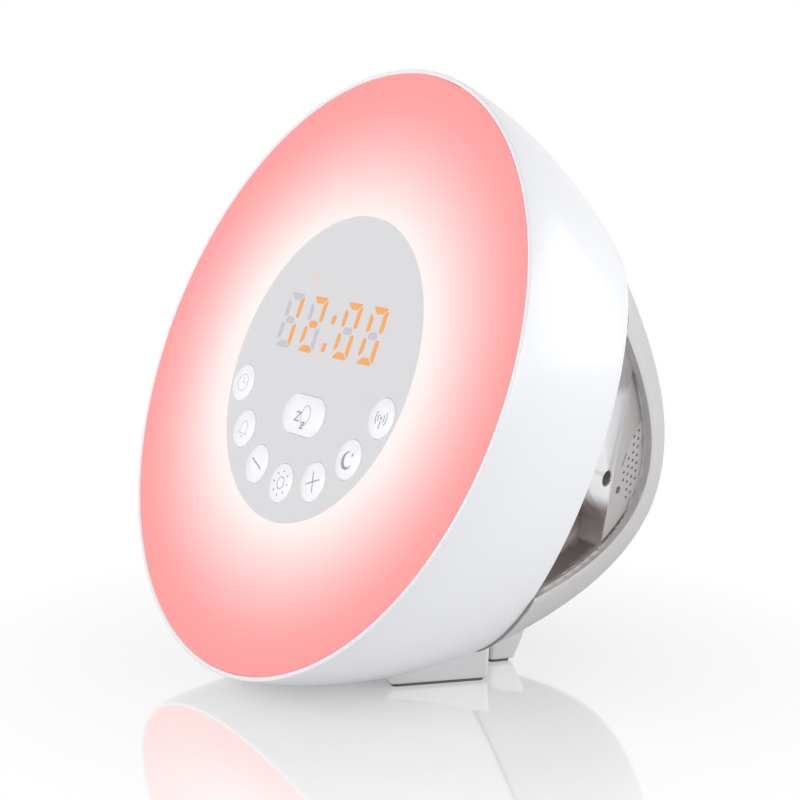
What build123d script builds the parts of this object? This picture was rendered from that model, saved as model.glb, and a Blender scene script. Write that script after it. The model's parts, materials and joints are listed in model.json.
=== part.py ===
# Round sunrise alarm clock: a bowl with a glowing dished face, leaning back on four short feet.
#
# Everything is drawn in the face frame first: X to the right, Y up the face and Z out of the face,
# with the centre of the rim at the origin. A depth is a distance behind the face, so it is -Z.
# At the end each piece is leaned back by face_tilt and stood on the floor, front towards -Y.

from build123d import *
from math import acos, atan2, copysign, cos, degrees, hypot, radians, sin, sqrt, tan
import os

# Face and stance
rim_radius = 86.3
face_tilt = 21.65
floor_gap = 0.669
back_reach = 94.0

# Bowl, the front casing
bowl_length = 125.4
bowl_fullness = 1.34
bowl_taper = 1.66
bowl_wall = 2.4
rim_lip = 1.3
rim_round = 0.6
ledge_width = 2.0
ledge_thickness = 2.0
bowl_cut_angle = 67.0
bowl_cut_distance = 67.8

# Rear casing
dome_radius_at_face = 100.9
dome_length = 118.8
dome_fullness = 1.95
dome_taper = 0.84
dome_drop = 1.36
rear_wall = 2.2
side_angle = 19.34
side_lean = -2.63
side_distance = 75.4
back_round = 3.0
seam_gap = 0.25
facet_inset = 1.6
plug_front = 39.0

# Side recesses
recess_lip = 1.2
flank_depth = 2.0
seat_depth = 4.0
trough_depth = 9.0
grille_thickness = 1.4
grille_gap = 0.25
crease_top = (30.0, 39.2)
crease_bottom = (53.5, -27.0)
crease_round = 5.0
trough_inset = 0.6
trough_start = (20.0, -2.0)
trough_end = (50.0, -15.5)
sound_centre = (76.0, 6.8)
sound_radius = 22.3
sound_hole = 0.45
sound_pitch = 2.3
sound_margin = 1.6

# Power socket and reset
jack_place = (42.3, -4.2)
jack_radius = 2.3
jack_fit = 0.1
jack_flange_radius = 3.9
jack_flange_thickness = 1.0
jack_body_length = 11.0
jack_bore_radius = 1.85
jack_bore_depth = 9.0
jack_pin_radius = 0.6
jack_pin_recess = 1.5
jack_recess = 0.4
power_board_size = (26.0, 20.0)
power_board_place = (45.0, -4.0)
reset_switch_size = 4.0
reset_place = (51.0, -5.9)
reset_hole_radius = 1.1
reset_radius = 0.9
reset_length = 6.0
reset_travel = 0.5
reset_recess = 0.8
slot_place = (48.6, 2.2)
slot_size = (0.7, 3.6)

# Glowing face
diffuser_fit = 0.15
diffuser_thickness = 2.0
diffuser_setback = 0.2
dish_depth = 2.4
dish_bow = 0.62
panel_radius = 43.6
panel_rise = 0.57
panel_fit = 0.12
panel_thickness = 2.0

# Light chamber
reflector_wall = 1.6
chamber_depth = 30.0
chamber_floor_radius = 58.0
chamber_mouth_gap = 4.0
cup_wall = 1.8
cup_ledge_width = 2.4
cup_depth = 17.0
light_board_thickness = 1.6
light_board_margin = 0.8
lamp_count = 24
lamp_size = 3.5
lamp_height = 1.4

# Keys
key_radius = 5.46
key_circle_radius = 39.0
key_circle_centre = 6.5
key_names = ["clock", "alarm", "minus", "sunrise", "plus", "moon", "radio"]
key_step = 22.4
snooze_width = 20.7
snooze_height = 11.1
snooze_place = -13.15
key_proud = 0.35
key_gap = 0.15
key_travel = 0.5
key_edge = 0.3
flange_width = 0.7
flange_thickness = 1.0
stem_radius = 1.6

# Electronics
face_board_thickness = 1.6
face_board_gap = 0.2
switch_size = 6.0
switch_height = 3.4
plunger_radius = 1.5
plunger_height = 0.9
plunger_fit = 0.1
plunger_sink = 1.2
digit_block_width = 60.0
digit_block_height = 25.0
digit_block_rise = 11.2
digit_block_wall_gap = 0.15
main_board_size = (66.0, 44.0)
main_board_thickness = 1.6
post_radius = 3.0
post_length = 19.0
post_spacing = (54.0, 32.0)
post_screw_radius = 1.2
chip_sizes = [(12.0, 12.0, 1.8), (8.0, 10.0, 1.6), (6.0, 5.0, 1.5), (7.0, 7.0, 5.0)]
chip_places = [(0.0, 4.0), (-17.0, 8.0), (16.0, -8.0), (17.0, 10.0)]

# Speaker
speaker_place = (56.3, 5.5)
speaker_radius = 11.0
speaker_rim = 1.5
speaker_frame_depth = 6.0
speaker_frame_wall = 0.9
speaker_back_radius = 6.5
magnet_radius = 6.0
magnet_depth = 4.0
cone_thickness = 0.5
cone_edge_radius = 7.2
cap_radius = 3.0
cone_gap = 0.1

# Back door and cells
door_width = 34.0
door_margin = 1.35
door_thickness = 2.0
door_gap = 0.3
door_centre_height = -21.0
door_pin_radius = 0.7
door_pin_gap = 0.06
door_pin_length = 1.8
nail_radius = 7.0
nail_depth = 0.8
nail_width = 14.0
tray_depth = 15.0
tray_wall = 1.4
cell_radius = 5.15
cell_length = 44.0
cell_tip_radius = 1.9
cell_tip_length = 0.8
cell_gap = 0.6
contact_thickness = 0.4
spring_wire = 0.5
spring_radius = 3.2
spring_turns = 3
spring_room = 4.5

# Feet: where the outer edge of the sole starts, to the side of and behind the bowl's lowest point,
# then lengths along the foot and heights above the floor
front_foot_at = (21.5, 6.469)
front_foot_splay = 17.3
front_foot_length = 27.7
front_foot_width = 9.0
front_foot_nose = 6.8
front_foot_rake = 0.9
front_foot_shoulders = (7.9, 12.9)
rear_foot_at = (16.9, 42.769)
rear_foot_splay = 13.1
rear_foot_length = 7.7
rear_foot_width = 7.0
rear_foot_rake = 3.9
rear_foot_shoulders = (8.0, 9.5)
shoulder_slope = 40.0
foot_round = 1.6
foot_reach = 40.0
pad_thickness = 0.8
pad_inset = 0.7

# Casing screws
casing_screw_radius = 1.5
casing_screw_head_radius = 2.9
casing_screw_head_height = 1.8
casing_screw_length = 11.0
casing_screw_at = (66.0, 19.0)
casing_screw_seat = 41.2
casing_screw_gap = 0.3
slot_width = 0.8
boss_radius = 3.6
boss_front = 26.0
boss_web = 3.0
board_screw_head_radius = 2.4
board_screw_head_height = 1.5
board_screw_length = 6.0

reach = 400.0
outline_points = 9
upwards = (Align.CENTER, Align.CENTER, Align.MIN)
downwards = (Align.CENTER, Align.CENTER, Align.MAX)

# Helpers in the face frame


def swell(depth, radius, length, fullness, taper):
    """Radius of a rounded casing at a depth behind the face."""
    return radius * (1 - (depth / length) ** taper) ** (1 / fullness)


def bowl_radius(depth):
    return swell(depth, rim_radius, bowl_length, bowl_fullness, bowl_taper)


def dome_radius(depth):
    return swell(depth, dome_radius_at_face, dome_length, dome_fullness, dome_taper)


def bowl_low_point():
    """How far behind and how far below the face centre the leaning bowl reaches lowest."""
    turn = radians(face_tilt)
    depths = [bowl_length * number / 200 for number in range(200)]
    depth = max(depths, key=lambda d: bowl_radius(d) * cos(turn) + d * sin(turn))
    radius = bowl_radius(depth)
    return depth * cos(turn) - radius * sin(turn), radius * cos(turn) + depth * sin(turn)


def turned_casing(radius_at, start, end, inset=0.0, count=13):
    """Solid of revolution under a casing's outside, moved inwards square to its surface by inset."""
    step = 0.05
    points = []
    for number in range(count):
        depth = start + (end - start) * number / (count - 1)
        slope = (radius_at(depth + step) - radius_at(max(depth - step, 0))) / (step + min(step, depth))
        across = hypot(1, slope)
        points.append((radius_at(depth) - inset / across, -(depth + inset * slope / across)))
    first, last = points[0], points[-1]
    outline = Spline(*points) + Polyline(last, (0, last[1]), (0, first[1]), first)
    return revolve(Plane.XZ * make_face(outline), Axis.Z)


def disc(radius, front, back):
    """Round solid about the face axis between two depths."""
    return Pos(0, 0, -back) * Cylinder(radius, back - front, align=upwards)


def ring(outer, inner, front, back):
    """Flat ring between two depths."""
    return disc(outer, front, back) - disc(inner, front - 1, back + 1)


def block(width, height, front, back):
    return Pos(0, 0, -back) * Box(width, height, back - front, align=upwards)


def turned(points):
    """Solid of revolution about the face axis from (radius, depth) corners."""
    outline = Polyline(*[(radius, -depth) for radius, depth in points], close=True)
    return revolve(Plane.XZ * make_face(outline), Axis.Z)


def beyond(plane, distance=0.0):
    """Everything on the outer side of a plane."""
    return plane.offset(distance) * Box(reach, reach, reach, align=upwards)


def front_wedge(distance):
    """Everything in front of the two slanted planes that trim the bowl's rear edge."""
    apex = distance / sin(radians(bowl_cut_angle))
    half = reach / 2
    edge = apex - half / tan(radians(bowl_cut_angle))
    outline = Polyline((0, -apex), (half, -edge), (half, reach), (-half, reach), (-half, -edge), close=True)
    return extrude(Plane.XZ * make_face(outline), reach / 2, both=True)


def both_sides(shape):
    return shape + mirror(shape, about=Plane.YZ)


# Planes of the side recess and of the vertical back

side_normal = Vector(
    cos(radians(side_angle)) * cos(radians(side_lean)),
    sin(radians(side_lean)),
    -sin(radians(side_angle)) * cos(radians(side_lean)),
)
rearward = Vector(-sin(radians(side_angle)), 0, -cos(radians(side_angle)))
side_origin = Vector(cos(radians(side_angle)), 0, -sin(radians(side_angle)))
side_origin *= side_distance / cos(radians(side_lean))
side_plane = Plane(origin=side_origin, x_dir=rearward, z_dir=side_normal)

back_normal = Vector(0, sin(radians(face_tilt)), -cos(radians(face_tilt)))
back_plane = Plane(origin=back_normal * back_reach, x_dir=Vector(-1, 0, 0), z_dir=back_normal)


def on_side(place, depth, shape):
    """Put a shape on the right side plane, at a place on it and a depth below it."""
    return side_plane.offset(-depth) * (Pos(place[0], place[1], 0) * shape)


def sunk(place, radius, front, back):
    """Round post on the side plane, running inwards between two depths."""
    return on_side(place, front, Cylinder(radius, back - front, align=downwards))


def cut_sides(shape, inset=0.0):
    right = beyond(side_plane, -inset)
    return shape - right - mirror(right, about=Plane.YZ)


def share_of_radius(depth):
    """How far out the side plane lies at a depth, as a share of the rear casing's radius."""
    level = side_distance + side_normal.Z * depth + side_normal.Y * dome_drop
    return min(1, level / (hypot(side_normal.X, side_normal.Y) * dome_radius(depth)))


def recess_tip():
    """Depth at which the side plane leaves the rear casing."""
    near, far = bowl_cut_distance / 2, dome_length - 1.0
    while far - near > 0.001:
        middle = (near + far) / 2
        near, far = (middle, far) if share_of_radius(middle) < 1 else (near, middle)
    return near


def recess_edge(share, tip):
    """Place on the side plane where it meets the rear casing, from -1 low in front over the tip to 1."""
    depth = tip - (tip - bowl_cut_distance / 2) * share * share
    turn = atan2(side_normal.Y, side_normal.X) + copysign(acos(share_of_radius(depth)), share)
    radius = dome_radius(depth)
    return side_plane.to_local_coords(Vector(radius * cos(turn), radius * sin(turn) - dome_drop, -depth))


def recess_outline(inset):
    """Face on the side plane inside the rear casing's outside, open towards the front."""
    tip = recess_tip()
    step = 0.5 / outline_points
    points = []
    for number in range(-outline_points, outline_points + 1):
        share = number / outline_points
        along = (recess_edge(share + step, tip) - recess_edge(share - step, tip)).normalized()
        points.append(recess_edge(share, tip) + Vector(-along.Y, along.X) * inset)
    return make_face(Spline(*points) + Line(points[-1], points[0]))


def flank_outline(grow=0.0):
    """The part of the side recess in front of the grille, where the power socket is."""
    far = reach / 4
    lean = (crease_bottom[0] - crease_top[0]) / (crease_top[1] - crease_bottom[1])
    back = grow * hypot(1, lean)
    top = (crease_top[0] + back - lean * grow, crease_top[1] + grow)
    bottom = (crease_bottom[0] + back, crease_bottom[1])
    face = make_face(Polyline(top, bottom, (bottom[0], -far), (-far, -far), (-far, top[1]), close=True))
    return fillet(face.vertices().filter_by(lambda v: v.X > 0).sort_by(Axis.Y)[1:], crease_round + grow)


def trough_outline(grow=0.0):
    """Everything below the slanted upper edge of the lead's trough."""
    far = reach / 4
    slope = (trough_end[1] - trough_start[1]) / (trough_end[0] - trough_start[0])
    level = trough_start[1] - slope * trough_start[0] + grow * hypot(1, slope)
    corners = [(-far, level - slope * far), (far, level + slope * far), (far, -reach / 2), (-far, -reach / 2)]
    return make_face(Polyline(*corners, close=True))


def inwards(face, depth):
    """Solid under a face on the side plane, down to a depth."""
    return side_plane * extrude(face, -depth)


pieces = {}

# Outlines on the side plane
opening = recess_outline(recess_lip)
seat = opening - flank_outline()
grille_face = recess_outline(recess_lip + grille_gap) - flank_outline(grille_gap)
trough = recess_outline(recess_lip + trough_inset) & flank_outline(-trough_inset) & trough_outline()
trough_room = recess_outline(recess_lip + trough_inset - rear_wall)
trough_room = trough_room & flank_outline(rear_wall - trough_inset) & trough_outline(rear_wall)
behind_facet = front_wedge(bowl_cut_distance - facet_inset)


def on_back(across, height, depth, shape):
    """Put a shape on the vertical back, at a height over the face centre and a depth below the back."""
    return back_plane.offset(-depth) * (Pos(across, height, 0) * shape)


# Bowl
bowl_back = bowl_cut_distance / sin(radians(bowl_cut_angle)) + seam_gap
diffuser_back = diffuser_setback + diffuser_thickness
ledge_front = diffuser_back + reflector_wall
diffuser_radius = rim_radius - rim_lip - diffuser_fit
link_end = bowl_back + 2 * bowl_wall
bowl_form = turned_casing(bowl_radius, 0, bowl_back)
bowl = bowl_form - turned_casing(bowl_radius, 0, link_end, bowl_wall)
bowl += ring(rim_radius - rim_lip, diffuser_radius - ledge_width, ledge_front, ledge_front + ledge_thickness)
bowl -= disc(rim_radius - rim_lip, -1, ledge_front)
bowl = bowl & front_wedge(bowl_cut_distance)
bowl = fillet(bowl.edges().filter_by(GeomType.CIRCLE).sort_by(Axis.Z)[-2:], rim_round)

corners = [(-1, -1), (-1, 1), (1, -1), (1, 1)]
screw_places = [(side * casing_screw_at[0], level * casing_screw_at[1]) for side, level in corners]
for across, up in screw_places:
    web = Box(rim_radius, boss_web, plug_front - boss_front, align=(Align.MIN, Align.CENTER, Align.MIN))
    web = Rot(0, 0, degrees(atan2(up, across))) * Pos(hypot(across, up), 0, -plug_front) * web
    boss = Pos(across, up, 0) * disc(boss_radius, boss_front, plug_front) + web
    bowl += boss & turned_casing(bowl_radius, 0, bowl_back, bowl_wall / 2)
for across, up in screw_places:
    bowl -= Pos(across, up, 0) * disc(casing_screw_radius, boss_front + bowl_wall, plug_front + 1)
pieces["front_shell"] = bowl

# Rear casing
dome_end = dome_length - 4
room_inset = bowl_wall + seam_gap
room_back = bowl_back + rear_wall
dome = Pos(0, -dome_drop, 0) * turned_casing(dome_radius, plug_front, dome_end)
dome -= beyond(back_plane)
dome = fillet(dome.faces().sort_by(lambda f: (f.center() - back_plane.origin).length)[0].edges(), back_round)
room = turned_casing(bowl_radius, plug_front, room_back, room_inset) - disc(rim_radius, 0, plug_front)
rear = cut_sides(dome - front_wedge(bowl_cut_distance + seam_gap) + room) + (room & behind_facet)

hollow_depth = seat_depth + rear_wall
dome_hollow = Pos(0, -dome_drop, 0) * turned_casing(dome_radius, plug_front, dome_end, rear_wall)
dome_hollow -= front_wedge(bowl_cut_distance + seam_gap + rear_wall)
room_hollow = turned_casing(bowl_radius, plug_front - 1, room_back + 2 * rear_wall, room_inset + rear_wall)
room_hollow += disc(bowl_radius(plug_front) - room_inset - rear_wall, plug_front - 2, plug_front + 1)
hollow = cut_sides(dome_hollow + room_hollow, hollow_depth)
hollow += room_hollow & front_wedge(bowl_cut_distance - facet_inset - rear_wall)
hollow -= beyond(back_plane, -rear_wall)
hollow -= both_sides(inwards(trough_room, trough_depth + rear_wall))
rear -= hollow

recess = inwards(opening, flank_depth) + inwards(seat, seat_depth) + inwards(trough, trough_depth)
sound_opening = Pos(*speaker_place) * Circle(speaker_radius - speaker_rim)
recess -= behind_facet
recess += inwards(grille_face & sound_opening, hollow_depth + 1)
rear -= both_sides(recess)
rear -= sunk(jack_place, jack_radius, 0, hollow_depth + 1)
rear -= sunk(reset_place, reset_radius + jack_fit, 0, hollow_depth + 1)

for across, up in screw_places:
    boss = Pos(across, up, 0) * disc(boss_radius, plug_front, bowl_cut_distance)
    rear += boss & behind_facet
screw_room = disc(casing_screw_radius + casing_screw_gap, plug_front - 1, bowl_cut_distance)
screw_room += disc(casing_screw_head_radius + casing_screw_gap, casing_screw_seat, bowl_cut_distance)
for across, up in screw_places:
    rear -= Pos(across, up, 0) * screw_room

# Opening and pin sockets for the back door
tray_height = cell_length + 2 * contact_thickness + spring_room
door_height = tray_height + 2 * door_margin
door_axis_depth = door_thickness / 2
door_axis_height = door_centre_height - door_height / 2 + door_axis_depth
door_hole = Box(door_width + 2 * door_gap, door_height + 2 * door_gap, 3 * rear_wall)
rear -= on_back(0, door_centre_height, 0, door_hole)
pin_length = door_width + 2 * door_pin_length
pin_socket = Rot(0, 90, 0) * Cylinder(door_pin_radius + door_pin_gap, pin_length + 2 * door_gap)
rear -= on_back(0, door_axis_height, door_axis_depth, pin_socket)
pieces["rear_shell"] = rear


# Diffuser: a shallow dish with a round hole for the panel and a flat rim behind
panel_front = diffuser_setback + dish_depth
panel_back = panel_front + panel_thickness
cup_radius = panel_radius + panel_fit
cup_outer = cup_radius + cup_wall
cup_place = Pos(0, panel_rise, 0)
mouth_radius = diffuser_radius - chamber_mouth_gap
rim_front = Vector(diffuser_radius, 0, -diffuser_setback)
hub_front = Vector(cup_radius / 2, 0, -panel_front)
bow = Vector((diffuser_radius + cup_radius) / 2, 0, -diffuser_setback - dish_depth * dish_bow)
thick = Vector(0, 0, -diffuser_thickness)
dish_front = ThreePointArc(rim_front, bow, hub_front)
dish_back = ThreePointArc(rim_front + thick, bow + thick, hub_front + thick)
dish = dish_front + dish_back + Line(rim_front, rim_front + thick) + Line(hub_front, hub_front + thick)
diffuser = revolve(make_face(dish), Axis.Z) - cup_place * disc(cup_radius, -1, cup_depth)
diffuser -= ring(rim_radius, mouth_radius - diffuser_fit, diffuser_back, cup_depth)
pieces["diffuser"] = diffuser

# Keys, their holes in the panel and the room for their flanges
keys = {}
for number, name in enumerate(key_names):
    turn = radians(270 + key_step * (number - (len(key_names) - 1) / 2))
    place = (key_circle_radius * cos(turn), key_circle_centre + key_circle_radius * sin(turn))
    keys[name] = (place, Circle(key_radius))
snooze_shape = SlotOverall(snooze_width, snooze_height)
keys["snooze"] = ((0, snooze_place), snooze_shape)

board_back = cup_depth
board_front = board_back - face_board_thickness
switch_front = board_front - switch_height
plunger_front = switch_front - plunger_height
flange_back = panel_back + flange_thickness


def key_room(name, extra, front, back):
    """Straight-sided solid with a key's outline, grown by extra, between two depths."""
    place, outline = keys[name]
    grown = offset(outline, extra) if extra else outline
    return Pos(place[0], place[1], -back) * extrude(grown, back - front)


panel = cup_place * disc(panel_radius, panel_front, panel_back)
for name in keys:
    panel -= key_room(name, key_gap, 0, cup_depth)
pieces["display_panel"] = panel

for name, (place, outline) in keys.items():
    cap = key_room(name, 0, panel_front - key_proud, panel_back)
    cap = chamfer(cap.faces().sort_by(Axis.Z)[-1].edges(), key_edge)
    cap += key_room(name, flange_width, panel_back, flange_back)
    cap += Pos(place[0], place[1], 0) * disc(stem_radius, flange_back, plunger_front)
    pieces["key_" + name] = cap
    plunger = disc(plunger_radius, plunger_front, switch_front + plunger_sink)
    pieces["plunger_" + name] = Pos(place[0], place[1], 0) * plunger

# Reflector with the cup that carries the panel and the boards
floor_back = chamber_depth + reflector_wall
reflector = turned(
    [
        (diffuser_radius, diffuser_back),
        (diffuser_radius, ledge_front),
        (mouth_radius + reflector_wall, ledge_front),
        (chamber_floor_radius + reflector_wall, floor_back),
        (cup_radius, floor_back),
        (cup_radius, chamber_depth),
        (chamber_floor_radius, chamber_depth),
        (mouth_radius, ledge_front),
        (mouth_radius, diffuser_back),
    ]
)
cup = ring(cup_outer, cup_radius, panel_front + diffuser_thickness, floor_back)
cup += ring(cup_outer, cup_radius - cup_ledge_width, panel_back, panel_back + flange_thickness)
cup += disc(cup_outer, cup_depth, cup_depth + reflector_wall)
reflector += cup_place * cup
for name in keys:
    reflector -= key_room(name, flange_width + key_gap, panel_back, flange_back + key_travel + key_gap)
post_places = [(side * post_spacing[0] / 2, level * post_spacing[1] / 2) for side, level in corners]
post_back = cup_depth + reflector_wall + post_length
for across, up in post_places:
    reflector += Pos(across, up, 0) * disc(post_radius, cup_depth, post_back)
for across, up in post_places:
    hole_front = post_back - board_screw_length
    reflector -= Pos(across, up, 0) * disc(post_screw_radius, hole_front, post_back + 1)
pieces["reflector"] = reflector

# Ring of lamps
light_board_back = chamber_depth
light_board_front = light_board_back - light_board_thickness
light_board_inner = cup_outer + panel_rise + light_board_margin
light_board_outer = chamber_floor_radius - light_board_margin
pieces["light_board"] = ring(light_board_outer, light_board_inner, light_board_front, light_board_back)
lamp = Pos((light_board_inner + light_board_outer) / 2, 0, 0) * block(
    lamp_size, lamp_size, light_board_front - lamp_height, light_board_front
)
pieces["lamps"] = Compound([Rot(0, 0, 360 * number / lamp_count) * lamp for number in range(lamp_count)])

# Face board with the digits and the key switches
pieces["face_board"] = cup_place * disc(cup_radius - face_board_gap, board_front, board_back)
digit_block = Pos(0, digit_block_rise, 0) * block(
    digit_block_width, digit_block_height, panel_back + digit_block_wall_gap, board_front
)
pieces["digit_block"] = chamfer(digit_block.edges().filter_by(Axis.Z), key_edge)
switches = []
for name, (place, outline) in keys.items():
    switch = block(switch_size, switch_size, switch_front, board_front)
    switch -= disc(plunger_radius + plunger_fit, 0, switch_front + plunger_sink + key_travel + plunger_fit)
    switches.append(Pos(place[0], place[1], 0) * switch)
pieces["key_switches"] = Compound(switches)

# Main board on the cup's posts
main_back = post_back + main_board_thickness
main_board = block(*main_board_size, post_back, main_back)
for across, up in post_places:
    main_board -= Pos(across, up, 0) * disc(post_screw_radius, 0, main_back + 1)
pieces["main_board"] = main_board
chips = [
    Pos(place[0], place[1], 0) * block(size[0], size[1], main_back, main_back + size[2])
    for place, size in zip(chip_places, chip_sizes)
]
pieces["chips"] = Compound(chips)
board_screw = disc(post_screw_radius, main_back - board_screw_length, main_back)
board_screw += disc(board_screw_head_radius, main_back, main_back + board_screw_head_height)
pieces["board_screws"] = Compound([Pos(across, up, 0) * board_screw for across, up in post_places])

# Casing screws, put in from behind
casing_screw = disc(casing_screw_radius, casing_screw_seat - casing_screw_length, casing_screw_seat)
head_back = casing_screw_seat + casing_screw_head_height
casing_screw += disc(casing_screw_head_radius, casing_screw_seat, head_back)
cross_slot = Box(slot_width, 2 * casing_screw_radius, 2 * slot_width)
casing_screw -= Pos(0, 0, -head_back) * (cross_slot + Rot(0, 0, 90) * cross_slot)
pieces["casing_screws"] = Compound([Pos(across, up, 0) * casing_screw for across, up in screw_places])

# Grilles in the side recesses
hole_face = recess_outline(recess_lip + sound_margin) - flank_outline(sound_margin)
hole_face = hole_face & Pos(*sound_centre) * Circle(sound_radius)
hole_rows = int(sound_radius / sound_pitch)
row_height = sound_pitch * sqrt(3) / 2
holes = []
for row in range(-hole_rows - 1, hole_rows + 2):
    for column in range(-hole_rows - 1, hole_rows + 2):
        x = sound_centre[0] + (column + (row % 2) / 2) * sound_pitch
        y = sound_centre[1] + row * row_height
        if hole_face.is_inside(Vector(x, y, 0)):
            holes.append(Pos(x, y, 0) * Circle(sound_hole))
seat_to_grille = seat_depth - grille_thickness
plain_grille = side_plane.offset(-seat_to_grille) * extrude(grille_face, -grille_thickness)
plain_grille -= side_plane * extrude(Sketch() + holes, -seat_depth - 1)
grille_right = plain_grille - sunk(reset_place, reset_hole_radius, 0, seat_depth + 1)
grille_right -= on_side(slot_place, seat_to_grille, Box(*slot_size, reset_recess))
pieces["side_grille_right"] = grille_right
pieces["side_grille_left"] = mirror(plain_grille, about=Plane.YZ)

# Power socket, its pin, and the reset button
nose_front = flank_depth + jack_recess
socket_front = hollow_depth + jack_flange_thickness
socket_back = socket_front + jack_body_length
jack = sunk(jack_place, jack_radius - jack_fit, nose_front, hollow_depth)
jack += sunk(jack_place, jack_flange_radius, hollow_depth, socket_front)
jack += sunk(jack_place, jack_flange_radius - jack_flange_thickness, socket_front, socket_back)
bore_back = nose_front + jack_bore_depth
jack -= sunk(jack_place, jack_bore_radius, 0, bore_back)
pieces["power_socket"] = jack
pieces["socket_pin"] = sunk(jack_place, jack_pin_radius, nose_front + jack_pin_recess, bore_back)
power_board = extrude(Rectangle(*power_board_size), -main_board_thickness)
pieces["power_board"] = on_side(power_board_place, socket_back, power_board)
reset_front = seat_to_grille + reset_recess
reset_back = reset_front + reset_length
reset = sunk(reset_place, reset_radius, reset_front, reset_back)
reset += sunk(reset_place, reset_radius + flange_width, hollow_depth, hollow_depth + flange_thickness)
pieces["reset_button"] = reset
reset_switch_front = reset_back + reset_travel
reset_switch = extrude(Rectangle(reset_switch_size, reset_switch_size), reset_switch_front - socket_back)
pieces["reset_switch"] = on_side(reset_place, reset_switch_front, reset_switch)

# Speaker behind the right grille
frame_back = hollow_depth + speaker_frame_depth


def turned_on_side(place, points):
    """Solid of revolution square to the side plane from (radius, depth) corners."""
    outline = Polyline(*[(radius, -depth) for radius, depth in points], close=True)
    return on_side(place, 0, revolve(Plane.XZ * make_face(outline), Axis.Z))


neck = speaker_radius - speaker_rim
rim_back = hollow_depth + flange_thickness
pieces["speaker_frame"] = turned_on_side(
    speaker_place,
    [
        (speaker_radius, hollow_depth),
        (speaker_radius, rim_back),
        (neck, rim_back),
        (speaker_back_radius, frame_back),
        (0, frame_back),
        (0, frame_back - speaker_frame_wall),
        (speaker_back_radius - speaker_frame_wall, frame_back - speaker_frame_wall),
        (neck - speaker_frame_wall, rim_back),
        (neck - speaker_frame_wall, hollow_depth),
    ],
)
pieces["speaker_magnet"] = sunk(speaker_place, magnet_radius, frame_back, frame_back + magnet_depth)
cone_front = rim_back
cone_back = frame_back - speaker_frame_wall - cone_gap
pieces["speaker_cone"] = turned_on_side(
    speaker_place,
    [
        (neck - speaker_frame_wall, cone_front),
        (neck - speaker_frame_wall - cone_thickness, cone_front - cone_thickness),
        (cone_edge_radius, cone_front),
        (cap_radius, cone_back - cone_thickness),
        (0, cone_back - cone_thickness),
        (0, cone_back),
        (cap_radius, cone_back),
        (cone_edge_radius + cone_thickness, cone_front + cone_thickness),
    ],
)

# Back door on two pins
door = Box(door_width, door_height, door_thickness, align=downwards)
low_edges = door.edges().filter_by(Axis.X).group_by(Axis.Y)[0]
door = fillet(low_edges, door_thickness / 2 - door_pin_gap)
nail = Pos(0, door_height / 2, nail_radius - nail_depth) * Rot(90, 0, 0) * Cylinder(nail_radius, nail_width)
door -= nail
pin = Rot(0, 90, 0) * Cylinder(door_pin_radius, pin_length)
door += Pos(0, -door_height / 2 + door_axis_depth, -door_axis_depth) * pin
pieces["back_door"] = on_back(0, door_centre_height, 0, door)

# Cell tray against the inside of the back, open towards the door
tray_width = 4 * cell_radius + 3 * cell_gap
rim_width = 2 * (tray_wall + door_gap)
tray = Box(tray_width + 2 * tray_wall, tray_height + 2 * tray_wall, tray_depth, align=downwards)
tray += Box(door_width + rim_width, door_height + rim_width, tray_wall, align=downwards)
tray -= Pos(0, 0, 1) * Box(tray_width, tray_height, tray_depth - tray_wall + 1, align=downwards)
pieces["cell_tray"] = on_back(0, door_centre_height, rear_wall, tray)

cell_depth = rear_wall + cell_gap + cell_radius
cell = Cylinder(cell_radius, cell_length - cell_tip_length, align=downwards)
cell += Cylinder(cell_tip_radius, cell_tip_length, align=upwards)
cell = Rot(-90, 0, 0) * Pos(0, 0, cell_length / 2 - cell_tip_length) * cell
cells, springs, contacts = [], [], []
for side in (-1, 1):
    across = side * (cell_radius + cell_gap / 2)
    upward = -side
    turn = Rot(0, 0, 0 if upward > 0 else 180)
    top = tray_height / 2 - contact_thickness
    middle = door_centre_height + upward * (top - cell_length / 2)
    cells.append(on_back(across, middle, cell_depth, turn * cell))
    coil = Helix(spring_room / spring_turns, spring_room - spring_wire, spring_radius)
    start = Plane(origin=coil @ 0, z_dir=coil % 0)
    spring = Pos(0, -top + spring_wire / 2, 0) * Rot(-90, 0, 0) * sweep(start * Circle(spring_wire / 2), coil)
    springs.append(on_back(across, door_centre_height, cell_depth, turn * spring))
    plate = Box(2 * spring_radius, contact_thickness, 2 * spring_radius)
    for end in (-1, 1):
        height = door_centre_height + end * (top + contact_thickness / 2)
        contacts.append(on_back(across, height, cell_depth, plate))
pieces["cells"] = Compound(cells)
pieces["cell_springs"] = Compound(springs)
pieces["cell_contacts"] = Compound(contacts)

# Lean everything back
lean = Rot(90 - face_tilt, 0, 0)
pieces = {name: lean * piece for name, piece in pieces.items()}

# Feet, drawn upright and trimmed by the casings they carry
low_behind, low_drop = bowl_low_point()
floor_drop = low_drop + floor_gap
casings = bowl_form & front_wedge(bowl_cut_distance)
casings += cut_sides(dome - front_wedge(bowl_cut_distance) + room) + (room & behind_facet)
casings = lean * casings


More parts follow.
